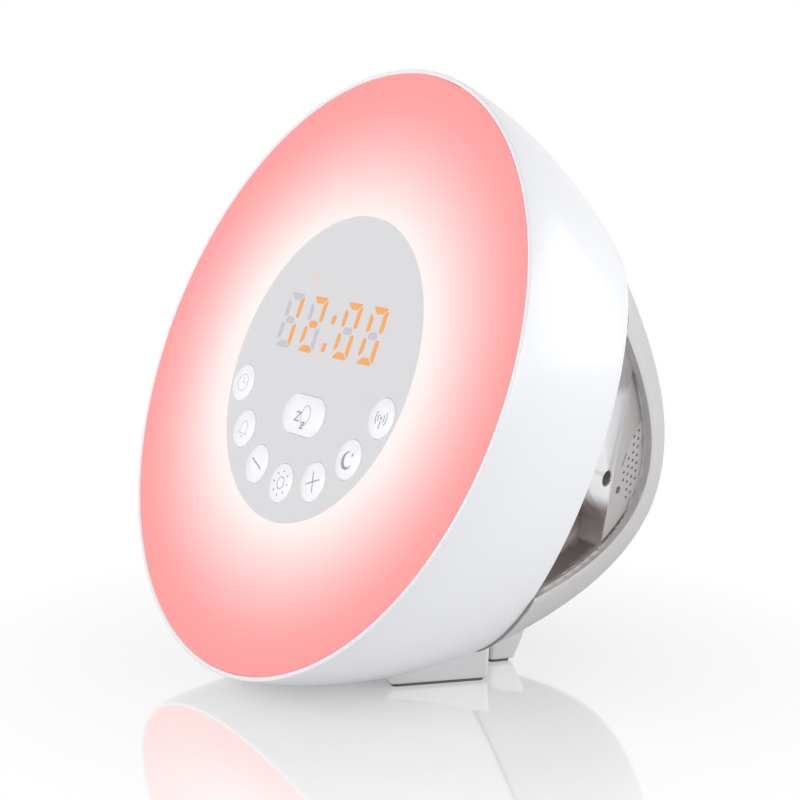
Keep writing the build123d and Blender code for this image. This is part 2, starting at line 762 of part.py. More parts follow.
def foot(start, splay, side_view, width, shoulders):
    """Upright foot: the part common to its plan and its side view, sloped up into the casing."""
    turn = radians(splay)
    outward = Vector(cos(turn), -sin(turn), 0)
    along = Vector(sin(turn), cos(turn), 0)
    corner = Vector(start[0], low_behind + start[1], -floor_drop)
    side = Plane(origin=corner, x_dir=along, z_dir=outward)
    ground = Plane(origin=corner, x_dir=along, z_dir=Vector(0, 0, 1))
    nose, tail = min(x for x, y in side_view), max(x for x, y in side_view)
    plan = Pos((nose + tail) / 2, width / 2) * Rectangle(tail - nose, width)
    plan = fillet(plan.vertices(), foot_round)
    profile = make_face(Polyline(*side_view, close=True))
    body = extrude(ground * plan, foot_reach) & extrude(side * profile, -width)
    first, last = [side.from_local_coords(point) for point in shoulders]
    rise = Vector(0, 0, sin(radians(shoulder_slope))) - outward * cos(radians(shoulder_slope))
    roof = Plane(origin=first, x_dir=last - first, z_dir=(last - first).cross(rise))
    return (body - beyond(roof) - casings).solids().sort_by(SortBy.VOLUME)[-1]


def pad(start, splay, length, width):
    """Thin pad under a foot, a little smaller than its sole."""
    plan = Rectangle(length - 2 * pad_inset, width - 2 * pad_inset)
    plan = Pos(length / 2, width / 2) * fillet(plan.vertices(), foot_round)
    corner = Pos(start[0], low_behind + start[1], -floor_drop)
    return corner * Rot(0, 0, 90 - splay) * extrude(plan, pad_thickness)


front_tail = front_foot_length + front_foot_rake
front_view = [
    (0, pad_thickness),
    (front_foot_length, pad_thickness),
    (front_tail, front_foot_shoulders[1]),
    (front_tail, foot_reach),
    (-front_foot_nose, foot_reach),
    (-front_foot_nose, front_foot_shoulders[0]),
]
front_shoulders = [(-front_foot_nose, front_foot_shoulders[0]), (front_tail, front_foot_shoulders[1])]
rear_tail = rear_foot_length + rear_foot_rake
rear_view = [
    (0, pad_thickness),
    (rear_foot_length, pad_thickness),
    (rear_tail, rear_foot_shoulders[1]),
    (rear_tail, foot_reach),
    (0, foot_reach),
]
rear_shoulders = [(0, rear_foot_shoulders[0]), (rear_tail, rear_foot_shoulders[1])]
front_foot = foot(front_foot_at, front_foot_splay, front_view, front_foot_width, front_shoulders)
rear_foot = foot(rear_foot_at, rear_foot_splay, rear_view, rear_foot_width, rear_shoulders)
front_pad = pad(front_foot_at, front_foot_splay, front_foot_length, front_foot_width)
rear_pad = pad(rear_foot_at, rear_foot_splay, rear_foot_length, rear_foot_width)
supports = {"front_foot": front_foot, "rear_foot": rear_foot, "front_pad": front_pad, "rear_pad": rear_pad}
for name, body in supports.items():
    pieces[name + "_right"] = body
    pieces[name + "_left"] = mirror(body, about=Plane.YZ)

# Stand on the floor, centred over the footprint, and write one file for each piece
box = (pieces["front_shell"] + pieces["rear_shell"]).bounding_box()
stand = Pos(-(box.min.X + box.max.X) / 2, -(box.min.Y + box.max.Y) / 2, floor_drop)
os.makedirs("parts", exist_ok=True)
for name, piece in pieces.items():
    export_step(stand * piece, f"parts/{name}.step")
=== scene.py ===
"""Sunrise alarm clock: the finish of every surface, and the pieces that are modelled as meshes."""

import json
import math

import bmesh
import bpy
from bpy.props import FloatProperty, FloatVectorProperty, IntProperty, PointerProperty, StringProperty
from mathutils import Matrix, Vector
from mathutils.bvhtree import BVHTree

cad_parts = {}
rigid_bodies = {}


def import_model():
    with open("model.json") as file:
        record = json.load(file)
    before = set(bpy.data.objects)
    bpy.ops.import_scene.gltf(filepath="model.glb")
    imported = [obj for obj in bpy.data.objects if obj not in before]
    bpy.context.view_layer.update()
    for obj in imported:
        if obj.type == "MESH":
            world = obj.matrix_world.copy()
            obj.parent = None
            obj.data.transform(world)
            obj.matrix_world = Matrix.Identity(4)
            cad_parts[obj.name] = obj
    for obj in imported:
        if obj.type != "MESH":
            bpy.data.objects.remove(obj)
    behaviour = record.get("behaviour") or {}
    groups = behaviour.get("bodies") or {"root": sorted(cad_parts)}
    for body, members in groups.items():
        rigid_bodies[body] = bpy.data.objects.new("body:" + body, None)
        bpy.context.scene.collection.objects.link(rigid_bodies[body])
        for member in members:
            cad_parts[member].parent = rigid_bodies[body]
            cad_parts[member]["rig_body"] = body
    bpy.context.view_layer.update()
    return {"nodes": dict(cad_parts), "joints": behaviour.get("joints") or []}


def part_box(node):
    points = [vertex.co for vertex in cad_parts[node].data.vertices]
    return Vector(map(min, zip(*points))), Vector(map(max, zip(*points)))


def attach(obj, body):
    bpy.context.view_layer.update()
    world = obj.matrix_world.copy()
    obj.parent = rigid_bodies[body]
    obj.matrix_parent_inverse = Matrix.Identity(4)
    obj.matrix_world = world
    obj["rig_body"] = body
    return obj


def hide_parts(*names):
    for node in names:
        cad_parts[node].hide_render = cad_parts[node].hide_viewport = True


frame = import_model()

bl_info = {
    "name": "Sunrise alarm clock",
    "version": (1, 0, 0),
    "blender": (4, 5, 0),
    "location": "3D View > Sidebar > Sunrise clock",
    "description": "Builds the casing, glowing face, digits, keys and key marks of a round alarm clock",
    "category": "Object",
}

MM = 0.001
WELD = 0.002 * MM
SHARP_ANGLE = math.radians(32)
BLACK, WHITE = (0, 0, 0, 1), (1, 1, 1, 1)
CASING = "casing"
KEY_NAMES = ("clock", "alarm", "minus", "sunrise", "plus", "moon", "radio", "snooze")


# The face frame: X to the right, Y up the face, Z out of it, with its origin in the middle of the rim


def joint_axis(name):
    """Direction in which a joint's piece travels."""
    return Vector(next(joint["axis"] for joint in frame["joints"] if joint["name"] == name))


def face_matrix():
    """Place of the face frame, from the keys' direction of travel and the glowing face's edge."""
    into = joint_axis("key_plus_press")
    low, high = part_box("diffuser")
    radius = (high.x - low.x) / 2
    setback = 0.2 * MM
    height = high.z - into.y * radius - into.z * setback
    depth = low.y + -into.z * radius - into.y * setback
    return Matrix.Translation((0, depth, height)) @ Matrix.Rotation(math.atan2(into.y, -into.z), 4, "X")


face = face_matrix()


def face_box(node):
    """Lowest and highest corner of a CAD node in the face frame, in millimetres."""
    inverse = face.inverted()
    points = [inverse @ vertex.co / MM for vertex in frame["nodes"][node].data.vertices]
    return [Vector([pick(point[axis] for point in points) for axis in range(3)]) for pick in (min, max)]


# Sizes and colours


def measure(name, text, millimetres):
    """A length, its default given in millimetres."""
    return FloatProperty(name=name, description=text, default=millimetres * MM, unit="LENGTH")


def colour(name, text, default):
    """A colour in linear light."""
    return FloatVectorProperty(
        name=name, description=text, subtype="COLOR", size=3, min=0, max=1, default=default
    )


class CasingSizes(bpy.types.PropertyGroup):
    """The bowl's curve, wall and rear cut, in the face frame."""

    radius: measure("Rim radius", "Radius of the bowl at the face", 86.3)
    length: measure("Length", "Depth at which the bowl's curve would close", 125.4)
    fullness: FloatProperty(name="Fullness", description="How far the curve bulges outwards", default=1.34)
    taper: FloatProperty(name="Taper", description="How slowly the curve leaves the rim", default=1.66)
    lip: measure("Lip", "Width of the white rim", 1.3)
    wall: measure("Wall", "Wall behind the rim", 2.4)
    cut_angle: FloatProperty(
        name="Cut angle", description="Lean of the two rear cuts", default=math.radians(67), subtype="ANGLE"
    )
    cut_distance: measure("Cut distance", "Distance of the rear cuts from the face centre", 67.8)
    edge: measure("Edge", "Rounding of the bowl's edges", 0.45)
    rows: IntProperty(name="Rows", description="Rows of faces from the rim to the rear edge", default=40)
    around: IntProperty(name="Around", description="Faces around the bowl, a multiple of four", default=240)


class DisplaySizes(bpy.types.PropertyGroup):
    """The digits that show on the window, in the face frame."""

    width: measure("Digit width", "Width of a digit", 7.9)
    height: measure("Digit height", "Height of a digit", 16.0)
    stroke: measure("Stroke", "Thickness of a level segment", 1.95)
    right_stroke: measure("Right stroke", "Thickness of an upright segment on the right", 1.85)
    left_stroke: measure("Left stroke", "Thickness of an upright segment on the left", 1.75)
    gap: measure("Gap", "Gap between segments", 0.3)
    rise: measure("Rise", "Height of the digits over the face centre", 11.9)
    pitch: measure("Pitch", "Distance between the two digits of a pair", 12.4)
    spread: measure("Spread", "Distance between the inner digits, past the colon", 17.6)
    shift: measure("Shift", "Middle of the colon, right of the face centre", -1.4)
    print_height: measure("Print height", "Thickness of the lit and printed marks", 0.04)
    time: StringProperty(name="Time", description="Four digits that are lit", default="1200")


class KeySizes(bpy.types.PropertyGroup):
    """The key caps and the lines printed on them."""

    growth: measure("Growth", "How far a cap reaches into its gap", 0.08)
    thin: measure("Thin line", "Width of a thin printed line", 0.26)
    bold: measure("Bold line", "Width of a bold printed line", 0.42)
    rays: IntProperty(name="Rays", description="Rays round the printed sun", default=8)


class SoundHoles(bpy.types.PropertyGroup):
    """The field of small holes in each side plate."""

    pitch: measure("Pitch", "Distance between holes", 2.3)
    radius: measure("Radius", "Radius of a hole", 0.45)
    field: measure("Field", "Radius of the field of holes", 13.5)
    margin: measure("Margin", "Least solid plate round a hole's middle", 1.4)


class Finishes(bpy.types.PropertyGroup):
    """Base colours of the finishes, in linear light."""

    shell: colour("Shell", "White moulded casing", (0.86, 0.865, 0.885))
    rear: colour("Rear", "Pale grey rear casing", (0.60, 0.585, 0.575))
    # Paler walls in the sunk sides: partly their own pale plastic, partly a painted highlight where the walls
    # catch the light
    pale_lit_flank: colour("Flank", "Pale walls beside the power socket", (0.78, 0.77, 0.78))
    # Painted shade: a dark colour standing for the shade low in the sunk sides, under the power socket
    trough_shade: colour("Trough", "Shaded trough for the lead", (0.20, 0.17, 0.16))
    grille: colour("Grille", "Grey side plates", (0.47, 0.44, 0.435))
    # Painted shade: the feet are the casing's white plastic, given a darker tint for the shade that falls on
    # them
    feet: colour("Feet", "Pale feet", (0.74, 0.725, 0.73))
    rim_glow: colour("Rim glow", "Glow of the face at its rim", (1.0, 0.315, 0.31))
    hub_glow: colour("Hub glow", "Glow of the face beside the window", (1.0, 0.86, 0.84))
    window: colour("Window", "Display window", (0.71, 0.70, 0.715))
    lit: colour("Lit", "Lit segments", (0.87, 0.375, 0.10))
    faint: colour("Faint", "Faintly lit marks", (0.74, 0.62, 0.52))
    unlit: colour("Unlit", "Unlit segments", (0.56, 0.56, 0.58))
    key: colour("Key", "Key caps", (0.96, 0.96, 0.975))
    mark: colour("Mark", "Lines printed on the keys", (0.33, 0.33, 0.34))
    pale_mark: colour("Pale mark", "Lines printed faintly on two keys", (0.62, 0.62, 0.63))


class ClockSettings(bpy.types.PropertyGroup):
    """Everything that can be changed."""

    casing: PointerProperty(type=CasingSizes)
    display: PointerProperty(type=DisplaySizes)
    keys: PointerProperty(type=KeySizes)
    holes: PointerProperty(type=SoundHoles)
    finishes: PointerProperty(type=Finishes)


def settings():
    return bpy.context.scene.sunrise_clock


# Node maths


class Value:
    """One output socket of a node tree, which can be used in ordinary sums."""

    def __init__(self, tree, socket):
        self.tree = tree
        self.socket = socket

    def _math(self, operation, first, second=None):
        inputs = {0: first} if second is None else {0: first, 1: second}
        return self.tree.add("ShaderNodeMath", {"operation": operation}, inputs)

    def __add__(self, other):
        return self._math("ADD", self, other)

    def __radd__(self, other):
        return self._math("ADD", other, self)

    def __sub__(self, other):
        return self._math("SUBTRACT", self, other)

    def __rsub__(self, other):
        return self._math("SUBTRACT", other, self)

    def __mul__(self, other):
        return self._math("MULTIPLY", self, other)

    def __rmul__(self, other):
        return self._math("MULTIPLY", other, self)

    def __truediv__(self, other):
        return self._math("DIVIDE", self, other)

    def __rtruediv__(self, other):
        return self._math("DIVIDE", other, self)

    def __pow__(self, other):
        return self._math("POWER", self, other)

    def __neg__(self):
        return self._math("MULTIPLY", self, -1)

    def __abs__(self):
        return self._math("ABSOLUTE", self)

    def __lt__(self, other):
        return self._math("LESS_THAN", self, other)

    def __gt__(self, other):
        return self._math("GREATER_THAN", self, other)

    def sin(self):
        return self._math("SINE", self)

    def cos(self):
        return self._math("COSINE", self)

    def root(self):
        return self._math("SQRT", self)

    def clamped(self):
        return self._math("MINIMUM", self._math("MAXIMUM", self, 0), 1)


class Tree:
    """A node tree with one method that makes any node."""

    def __init__(self, tree):
        self.tree = tree

    def node(self, kind, options=None, inputs=None):
        node = self.tree.nodes.new(kind)
        for name, value in (options or {}).items():
            setattr(node, name, value)
        for key, value in (inputs or {}).items():
            socket = node.inputs[key]
            if isinstance(value, Value):
                self.tree.links.new(value.socket, socket)
            else:
                socket.default_value = value
        return node

    def add(self, kind, options=None, inputs=None, output=0):
        return Value(self, self.node(kind, options, inputs).outputs[output])

    def mix(self, factor, first, second):
        """Blend of two colours."""
        inputs = {"Factor": factor, 6: first, 7: second}
        return self.add("ShaderNodeMix", {"data_type": "RGBA"}, inputs, output=2)

    def vector(self, operation, first, second=None, output=0):
        inputs = {0: first} if second is None else {0: first, 1: second}
        return self.add("ShaderNodeVectorMath", {"operation": operation}, inputs, output)


# Materials


def rgba(tint, gain=1.0):
    return (tint[0] * gain, tint[1] * gain, tint[2] * gain, 1.0)


class Plastic(Tree):
    """A moulded plastic: fine grain in its bump, slow drifts in its colour and gloss."""

    drift_noise, gloss_noise, grain_noise = (18, 2), (900, 3), (2600, 2)
    darkest, gloss_swing, grain_depth, coat_roughness = 0.985, 0.06, 0.1 * MM, 0.12

    def __init__(self, name, tint, roughness=0.4, grain=0.02, coat=0.0, metallic=0.0):
        made = bpy.data.materials.new(name)
        made.use_nodes = True
        super().__init__(made.node_tree)
        self.shader = self.tree.nodes["Principled BSDF"]
        self.place = self.add("ShaderNodeTexCoord", output="Object")
        self.tint = self.mix(self.noise(*self.drift_noise), rgba(tint, self.darkest), rgba(tint))
        self.join("Base Color", self.tint)
        speckle = self.noise(*self.gloss_noise)
        self.join("Roughness", roughness - self.gloss_swing / 2 + self.gloss_swing * speckle)
        bump = {"Strength": grain, "Distance": self.grain_depth, "Height": self.noise(*self.grain_noise)}
        self.join("Normal", self.add("ShaderNodeBump", None, bump))
        self.shader.inputs["Coat Weight"].default_value = coat
        self.shader.inputs["Coat Roughness"].default_value = self.coat_roughness
        self.shader.inputs["Metallic"].default_value = metallic

    def noise(self, scale, detail):
        return self.add("ShaderNodeTexNoise", None, {"Vector": self.place, "Scale": scale, "Detail": detail})

    def join(self, name, value):
        self.tree.links.new(value.socket, self.shader.inputs[name])

    def glow(self, tint, strength):
        """Light given off all over, at one strength."""
        self.join("Emission Color", tint)
        self.shader.inputs["Emission Strength"].default_value = strength


def face_radius(tree):
    """Distance of a point from the face's axis, drawn in a little at the sides, in millimetres."""
    centre = face.translation
    out = face.to_3x3() @ Vector((0, 0, 1))
    up = face.to_3x3() @ Vector((0, 1, 0))
    offset = tree.vector("SUBTRACT", tree.place, tuple(centre))
    height = tree.vector("DOT_PRODUCT", offset, tuple(up), output="Value")
    level = tree.vector("DOT_PRODUCT", offset, tuple(out), output="Value")
    length = tree.vector("LENGTH", offset, output="Value")
    across = length * length - level * level - height * height
    sideways, upright = 0.9, 1.06
    return (across * sideways + height * height * upright).root() * (1 / MM)


def glowing_plastic(name, finishes):
    """Opal face lit from behind, near white beside the window and red at the rim."""
    made = Plastic(name, (1, 1, 1), roughness=0.5, grain=0.01)
    hub, rim, bend, darkening, strength = 45.0, 86.0, 1.1, 0.55, 0.56
    share = ((face_radius(made) - hub) / (rim - hub)).clamped()
    rise = (share * (math.pi / 2)).sin() ** bend
    ramp = made.mix(rise, rgba(finishes.hub_glow), rgba(finishes.rim_glow))
    made.join("Base Color", made.mix(darkening, ramp, BLACK))
    made.glow(ramp, strength)


def rear_plastic(name, tints):
    """Grey casing, with paler walls in its sunk sides, partly painted highlight, that darken downwards into
    painted shade.
    """
    made = Plastic(name, tints.rear, roughness=0.42)
    inside = made.add("ShaderNodeAttribute", {"attribute_name": "sunk"}, output="Fac")
    spot = made.node("ShaderNodeSeparateXYZ", None, {0: made.place})
    height, back = Value(made, spot.outputs[2]), Value(made, spot.outputs[1])
    edge_height, edge_back, slope, fade = 53 * MM, 24 * MM, 0.35, 5 * MM
    plate_height, plate_fade = 83 * MM, 3 * MM
    # Painted shade: the walls darken below a line that falls towards the back, and stay pale above it
    below = ((edge_height - height - (back - edge_back) * slope) / fade + 0.5).clamped()
    smooth = below * below * (3 - 2 * below)
    above = ((height - plate_height) / plate_fade + 0.5).clamped()
    pale_lit_flank = made.mix(above, rgba(tints.pale_lit_flank), rgba(tints.grille))
    wall = made.mix(smooth, pale_lit_flank, rgba(tints.trough_shade))
    # The sunk faces take the walls' painted highlight and shade; the rest of the casing keeps its grey
    made.join("Base Color", made.mix(inside, made.tint, wall))


def lit_plastic(name, tint):
    """A lit mark, which gives off its own colour evenly."""
    darkening, strength = 0.6, 0.62
    made = Plastic(name, tint, roughness=0.45, grain=0.0)
    made.join("Base Color", made.mix(darkening, made.tint, BLACK))
    made.glow(made.tint, strength)


def make_materials():
    """Make all the finishes, which the pieces then take by name."""
    tints = settings().finishes
    plain = {
        "casing_white": {"tint": tints.shell, "roughness": 0.34, "coat": 0.25},
        "plate_grey": {"tint": tints.grille, "roughness": 0.5, "grain": 0.05},
        "foot_plastic": {"tint": tints.feet},
        "dark_rubber": {"tint": (0.15, 0.14, 0.13), "roughness": 0.8, "grain": 0.1},
        "window_grey": {"tint": tints.window, "roughness": 0.32, "grain": 0.01},
        "unlit_segment": {"tint": tints.unlit, "grain": 0.0},
        "cap_white": {"tint": tints.key, "roughness": 0.35, "grain": 0.01},
        "key_print": {"tint": tints.mark, "roughness": 0.5, "grain": 0.0},
        "key_print_pale": {"tint": tints.pale_mark, "roughness": 0.5, "grain": 0.0},
        "socket_brown": {"tint": (0.085, 0.075, 0.07), "roughness": 0.45},
        "black_plastic": {"tint": (0.03, 0.03, 0.032), "roughness": 0.35},
        "chamber_white": {"tint": (0.85, 0.85, 0.85), "roughness": 0.6},
        "board_green": {"tint": (0.02, 0.13, 0.06)},
        "amber_lens": {"tint": (0.85, 0.75, 0.45), "roughness": 0.2},
        "zinc": {"tint": (0.55, 0.55, 0.57), "roughness": 0.3, "metallic": 1.0},
        "nickel": {"tint": (0.70, 0.68, 0.62), "roughness": 0.25, "metallic": 1.0},
        "dark_metal": {"tint": (0.10, 0.10, 0.11), "metallic": 0.6},
        "black_paper": {"tint": (0.03, 0.03, 0.035), "roughness": 0.9, "grain": 0.2},
        "blue_sleeve": {"tint": (0.10, 0.12, 0.16), "roughness": 0.3, "metallic": 0.3},
    }
    for name, looks in plain.items():
        Plastic(name, **looks)
    rear_plastic("casing_grey", tints)
    glowing_plastic("opal_glow", tints)
    lit_plastic("lit_segment", tints.lit)
    lit_plastic("faint_segment", tints.faint)


class CLOCK_OT_materials(bpy.types.Operator):
    """Make the finishes"""

    bl_idname = "clock.materials"
    bl_label = "Finishes"

    def execute(self, context):
        make_materials()
        return {"FINISHED"}


def material(name):
    return bpy.data.materials[name]


# Making pieces


def linked(name, data):
    """A new object in the scene."""
    made = bpy.data.objects.new(name, data)
    bpy.context.scene.collection.objects.link(made)
    return made


def baked(holder):
    """An object's mesh with its modifiers applied, as a plain mesh. The object is removed."""
    shown = holder.evaluated_get(bpy.context.evaluated_depsgraph_get())
    mesh = bpy.data.meshes.new_from_object(shown)
    bpy.data.objects.remove(holder)
    return mesh


def smoothed(mesh):
    """The mesh, with every face shaded smooth."""
    mesh.polygons.foreach_set("use_smooth", [True] * len(mesh.polygons))
    return mesh


def piece(name, mesh, body, finish, replaces=()):
    """A finished mesh as a piece that rides on a body."""
    made = linked(name, mesh)
    mesh.materials.clear()
    mesh.materials.append(material(finish))
    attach(made, body)
    if replaces:
        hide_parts(*replaces)
    return made


def body_of_node(node):
    return frame["nodes"][node]["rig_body"]


def merged_copy(node):
    """A CAD node's mesh with its loose triangles joined and its round faces smooth."""
    mesh = frame["nodes"][node].data.copy()
    form = bmesh.new()
    form.from_mesh(mesh)
    bmesh.ops.remove_doubles(form, verts=form.verts, dist=WELD)
    form.to_mesh(mesh)
    form.free()
    smoothed(mesh).set_sharp_from_angle(angle=SHARP_ANGLE)
    return mesh


def softened(node, voxel, passes):
    """A copy of a CAD node's mesh with its edges rounded off all over."""
    holder = linked(node + "_soft", merged_copy(node))
    remesh = holder.modifiers.new("voxels", "REMESH")
    remesh.mode = "VOXEL"
    remesh.voxel_size = voxel
    smooth = holder.modifiers.new("rounding", "SMOOTH")
    smooth.factor = 0.5
    smooth.iterations = passes
    return smoothed(baked(holder))


def dressed(node, finish):
    """A smooth copy of a CAD node, standing for it."""
    return piece("shown_" + node, merged_copy(node), body_of_node(node), finish, [node])


class Drawing:
    """Flat closed shapes on the face, each given a little thickness."""

    least_lean = 0.35  # keeps the mitre of a sharp corner short

    def __init__(self, front, back):
        self.form = bmesh.new()
        self.front = front
        self.back = back

    def _prism(self, outline):
        levels = [[self.form.verts.new((x, y, -z)) for x, y in outline] for z in (self.front, self.back)]
        self.form.faces.new(levels[0])
        self.form.faces.new(levels[1][::-1])
        for index, corner in enumerate(levels[0]):
            after = (index + 1) % len(outline)
            self.form.faces.new((corner, levels[1][index], levels[1][after], levels[0][after]))

    def shape(self, outline, at=(0, 0)):
        """A filled outline, its corners listed anticlockwise."""
        self._prism([(x + at[0], y + at[1]) for x, y in outline])

    def line(self, points, width, at=(0, 0), closed=False):
        """A line of even width through points, mitred at its corners."""
        points = [Vector(point) + Vector(at) for point in points]
        count = len(points)
        sides = [[], []]
        for index, point in enumerate(points):
            before = points[index - 1] if closed or index else point
            after = points[(index + 1) % count] if closed or index < count - 1 else point
            arriving = (point - before if before != point else after - point).normalized()
            leaving = (after - point if after != point else point - before).normalized()
            middle = (arriving + leaving).normalized()
            lean = max(self.least_lean, middle.dot(arriving))
            normal = Vector((-middle.y, middle.x)) * (width / 2 / lean)
            sides[0].append(point - normal)
            sides[1].append(point + normal)
        rings = [
            [[self.form.verts.new((p.x, p.y, -z)) for p in side] for side in sides]
            for z in (self.front, self.back)
        ]
        (low_front, high_front), (low_back, high_back) = rings
        for index in range(count if closed else count - 1):
            after = (index + 1) % count
            for a, b in (
                (low_front, high_front), (high_front, high_back), (high_back, low_back), (low_back, low_front)
            ):
                self.form.faces.new((a[index], a[after], b[after], b[index]))
        if not closed:
            for end in (0, count - 1):
                self.form.faces.new((low_front[end], high_front[end], high_back[end], low_back[end]))

    def mesh(self, name):
        """The drawing as a mesh in its place on the object."""
        bmesh.ops.recalc_face_normals(self.form, faces=self.form.faces)
        bmesh.ops.transform(self.form, matrix=face @ Matrix.Scale(MM, 4), verts=self.form.verts)
        made = bpy.data.meshes.new(name)
        self.form.to_mesh(made)
        self.form.free()
        return made


def rectangle(width, height):
    """Corners of a rectangle about its middle, anticlockwise."""
    return [(x * width / 2, y * height / 2) for x, y in ((-1, -1), (1, -1), (1, 1), (-1, 1))]


def arc(radius, start, end, count, tall=1.0):
    """Points along an arc in degrees, stretched in height by tall."""
    turns = [math.radians(start + (end - start) * index / count) for index in range(count + 1)]
    return [(radius * math.cos(turn), tall * radius * math.sin(turn)) for turn in turns]


def circle(radius, count, tall=1.0):
    """Corners of a full circle, stretched in height by tall."""
    return arc(radius, 0, 360, count, tall)[:-1]


def shifted(points, across, up=0.0):
    """Points moved across and up."""
    return [(x + across, y + up) for x, y in points]


def turned(points, degrees):
    """Points turned about the origin."""
    spin = Matrix.Rotation(math.radians(degrees), 2)
    return [tuple(spin @ Vector(point)) for point in points]


# Geometry nodes


def node_group(name, inputs):
    """A tree of geometry nodes, and its named inputs as values. The inputs give each name's kind."""
    group = bpy.data.node_groups.new(name, "GeometryNodeTree")
    group.is_modifier = True
    group.interface.new_socket("Geometry", in_out="OUTPUT", socket_type="NodeSocketGeometry")
    for title, kind in inputs.items():
        group.interface.new_socket(title, in_out="INPUT", socket_type="NodeSocket" + kind)
    tree = Tree(group)
    given = tree.node("NodeGroupInput")
    return tree, {socket.name: Value(tree, socket) for socket in given.outputs if socket.name}


def close_tree(tree, shape, finish):
    """End a tree of geometry nodes: its instances made real, then their finish."""
    whole = tree.add("GeometryNodeRealizeInstances", None, {"Geometry": shape})
    done = tree.add("GeometryNodeSetMaterial", None, {"Geometry": whole, "Material": finish})
    tree.node("NodeGroupOutput", None, {0: done})
    return tree.tree


def made_by_nodes(name, group, values, matrix, start=None):
    """The result of a tree of geometry nodes as a plain mesh, put in place by a matrix."""
    holder = linked(name + "_nodes", start or bpy.data.meshes.new(name + "_start"))
    modifier = holder.modifiers.new(name, "NODES")
    modifier.node_group = group
    for socket in group.interface.items_tree:
        if socket.in_out == "INPUT" and socket.name in values:
            modifier[socket.identifier] = values[socket.name]
    mesh = baked(holder)
    mesh.name = name
    mesh.transform(matrix)
    return mesh


def turned_outwards(mesh):
    """Join doubles and point every face of a closed mesh outwards."""
    form = bmesh.new()
    form.from_mesh(mesh)
    bmesh.ops.remove_doubles(form, verts=form.verts, dist=WELD / 2)
    bmesh.ops.recalc_face_normals(form, faces=form.faces)
    form.to_mesh(mesh)
    form.free()
    return mesh


# Bowl


def bowl_tree(sizes):
    """Geometry nodes that turn the bowl's curve round the face axis, as a closed wall cut by two planes."""
    numbers = ["Radius", "Length", "Fullness", "Taper", "Lip", "Wall", "Cut Angle", "Cut Distance"]
    counts = ["Rows", "Around"]
    kinds = {**dict.fromkeys(numbers, "Float"), **dict.fromkeys(counts, "Int"), "Finish": "Material"}
    tree, at = node_group("Turned bowl", kinds)
    radius, length, fullness, taper = (at[name] for name in numbers[:4])
    rows, around = at["Rows"], at["Around"]
    rounds, step, settling, at_rim = 9, 0.05 * MM, 4 * MM, 0.001

    def curve(depth):
        share = (depth / length).clamped()
        return radius * (1 - share ** taper) ** (1 / fullness)

    grid = {"Size X": 1.0, "Size Y": 1.0, "Vertices X": rows * 2 + 1, "Vertices Y": around + 1}
    sheet = tree.add("GeometryNodeMeshGrid", None, grid)
    spot = tree.node("ShaderNodeSeparateXYZ", None, {0: tree.add("GeometryNodeInputPosition")})
    row = (Value(tree, spot.outputs[0]) + 0.5) * rows * 2
    turn = (Value(tree, spot.outputs[1]) + 0.5) * (2 * math.pi)
    inner = (row > rows - 0.5) * (row < rows * 2 - 0.5)
    outward = row * (row < rows - 0.5) / (rows - 1)
    share = inner * (rows * 2 - 1 - row) / (rows - 1) + (1 - inner) * outward
    lean, distance = at["Cut Angle"], at["Cut Distance"]
    end = distance / lean.sin()
    for _ in range(rounds):
        end = (distance - lean.cos() * abs(turn.cos()) * curve(end)) / lean.sin()
    depth = end * share
    slope = (curve(depth + step) - curve(depth)) / step
    across = (1 + slope * slope).root()
    settle = ((depth / settling) - 1).clamped()
    wall = inner * (at["Lip"] + (at["Wall"] - at["Lip"]) * settle)
    out = curve(depth) - wall / across
    back = depth + wall * slope / across
    back = back * (1 - inner * (share < at_rim))
    spots = {0: out * turn.cos(), 1: out * turn.sin(), 2: -back}
    place = tree.add("ShaderNodeCombineXYZ", None, spots)
    moved = tree.add("GeometryNodeSetPosition", None, {"Geometry": sheet, "Position": place})
    welded = tree.add("GeometryNodeMergeByDistance", None, {"Geometry": moved, "Distance": WELD})
    values = {name: getattr(sizes, name.lower().replace(" ", "_")) for name in numbers + counts}
    return close_tree(tree, welded, at["Finish"]), {**values, "Finish": material("casing_white")}


class CLOCK_OT_bowl(bpy.types.Operator):
    """Build the white bowl, its rim lip and its cut rear edge"""

    bl_idname = "clock.bowl"
    bl_label = "Bowl"

    def execute(self, context):
        rounding_steps, rounded_from, sharp_from = 3, math.radians(50), math.radians(60)
        sizes = settings().casing
        group, values = bowl_tree(sizes)
        mesh = turned_outwards(made_by_nodes("bowl", group, values, face))
        if len(mesh.polygons) < sizes.around * sizes.rows:
            raise RuntimeError("the bowl came out incomplete")
        bowl = piece("bowl", smoothed(mesh), CASING, "casing_white", ["front_shell"])
        bevel = bowl.modifiers.new("edges", "BEVEL")
        bevel.width = sizes.edge
        bevel.segments = rounding_steps
        bevel.limit_method = "ANGLE"
        bevel.angle_limit = rounded_from
        mesh.set_sharp_from_angle(angle=sharp_from)
        return {"FINISHED"}


# Sunk sides and their sound holes


def mark_sunk_faces(mesh):
    """Mark the floors and walls of the two sunk sides, whose colour carries painted highlight and painted
    shade.
    """
    out = -joint_axis("reset_press")
    plate_sink, lip, deepest = 2.6 * MM, 1.5 * MM, 9.5 * MM
    floor_facing, wall_facing = 0.999, 0.02
    level = max(v.co.dot(out) for v in frame["nodes"]["side_grille_right"].data.vertices) + plate_sink
    marks = mesh.attributes.new("sunk", "FLOAT", "FACE")
    for polygon, mark in zip(mesh.polygons, marks.data):
        side = Vector((math.copysign(1, polygon.center.x), 1, 1))
        depth = level - (polygon.center * side).dot(out)
        facing = (polygon.normal * side).dot(out)
        floor = facing > floor_facing and depth > lip
        shallowest = level - max((mesh.vertices[corner].co * side).dot(out) for corner in polygon.vertices)
        wall = abs(facing) < wall_facing and shallowest > lip and depth < deepest
        mark.value = 1.0 if floor or wall else 0.0


